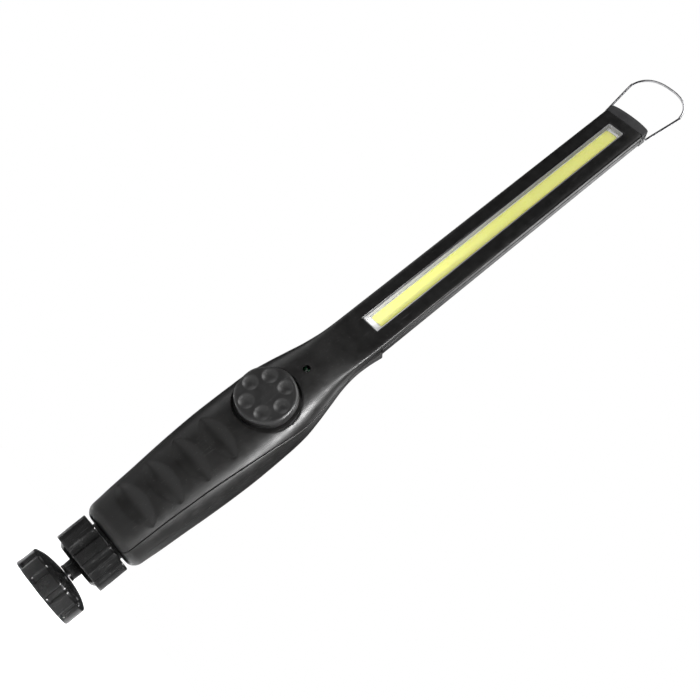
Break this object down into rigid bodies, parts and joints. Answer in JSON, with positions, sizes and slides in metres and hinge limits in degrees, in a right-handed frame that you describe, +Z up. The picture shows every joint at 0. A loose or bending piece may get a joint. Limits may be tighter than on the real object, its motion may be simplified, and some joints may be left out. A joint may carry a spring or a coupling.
{
  "type": "led light tube",
  "caption": "Cordless strip work light: slim COB-LED head on a finger-grooved handle, rotary dimmer, wire hanging bail, magnetic foot on a clamped ball joint.",
  "frame": {"origin": "centre of the flat face of the magnet in the foot", "axes": "+Z up the lamp from the foot to the hanging bail; the lit face looks toward -Y; +X is on the right of someone facing the lit face"},
  "size_m": [0.0426, 0.0355, 0.4198],
  "materials": {
    "case_black": "satin moulded ABS, fine grain",
    "case_grey": "satin moulded, dark grey",
    "knob_black": "satin moulded, slightly worn",
    "nut_black": "semi-gloss moulded nylon",
    "rubber_black": "soft matt rubber",
    "reflector_white": "semi-gloss light grey",
    "lens_clear": "clear polished",
    "phosphor_yellow": "soft silicone with phosphor",
    "board_white": "white solder mask",
    "board_green": "green solder mask",
    "heat_sink": "mill finish",
    "zinc_steel": "zinc plated",
    "chrome_wire": "polished chrome",
    "magnet_nickel": "nickel plated",
    "cell_blue": "blue shrink sleeve",
    "lead_red": "red insulation",
    "lead_black": "black insulation",
    "indicator_clear": "clear epoxy"
  },
  "bodies": {
    "foot": {"magnet_foot": "nut_black", "foot_magnet": "magnet_nickel", "backing_plate": "zinc_steel", "foot_screw": "zinc_steel", "stem": "nut_black"},
    "ball": {"ball": "nut_black"},
    "ball_seat": {"ball_seat_ring": "reflector_white"},
    "lamp": {"front_shell": "case_black", "rear_shell": "case_black", "head_back_cover": "case_black", "end_cap": "case_grey", "ball_socket": "nut_black", "case_screw_1": "zinc_steel", "case_screw_2": "zinc_steel", "case_screw_3": "zinc_steel", "case_screw_4": "zinc_steel", "reflector_frame": "reflector_white", "window_lens": "lens_clear", "cob_phosphor_strip": "phosphor_yellow", "cob_board": "board_white", "heat_sink_strip": "heat_sink", "dimmer_potentiometer": "zinc_steel", "driver_board": "board_green", "indicator_led": "indicator_clear", "charging_board": "board_green", "micro_usb_inlet": "zinc_steel", "lithium_cell": "cell_blue", "cell_tab_negative": "zinc_steel", "cell_tab_positive": "zinc_steel", "lead_positive": "lead_red", "lead_negative": "lead_black", "strip_lead_positive": "lead_red", "strip_lead_negative": "lead_black"},
    "knob": {"dimmer_knob": "knob_black", "dimmer_shaft": "zinc_steel"},
    "collar": {"collar_nut": "nut_black"},
    "hanging_bail": {"bail": "chrome_wire"},
    "charging_cover": {"port_cover": "rubber_black"}
  },
  "joints": [
    {"name": "stem_spin", "type": "hinge", "parent": "foot", "child": "ball", "pos_m": [0, 0, 0.025], "axis": [0, 0, 1], "continuous": true},
    {"name": "ball_tilt", "type": "hinge", "parent": "ball", "child": "ball_seat", "pos_m": [0, 0, 0.025], "axis": [1, 0, 0], "range_deg": [-25, 25]},
    {"name": "lamp_pan", "type": "hinge", "parent": "ball_seat", "child": "lamp", "pos_m": [0, 0, 0.025], "axis": [0, 0, 1], "continuous": true},
    {"name": "knob_turn", "type": "hinge", "parent": "lamp", "child": "knob", "pos_m": [0, -0.0131, 0.126], "axis": [0, 1, 0], "range_deg": [0, 300]},
    {"name": "collar_turn", "type": "hinge", "parent": "lamp", "child": "collar", "pos_m": [0, 0, 0.0334], "axis": [0, 0, -1], "range_deg": [0, 360]},
    {"name": "bail_swing", "type": "hinge", "parent": "lamp", "child": "hanging_bail", "pos_m": [0, -0.0015, 0.3801], "axis": [1, 0, 0], "range_deg": [-160, 160]},
    {"name": "cover_open", "type": "hinge", "parent": "lamp", "child": "charging_cover", "pos_m": [0.01372, -0.0006, 0.1638], "axis": [0, 1, 0], "range_deg": [0, 100]}
  ]
}
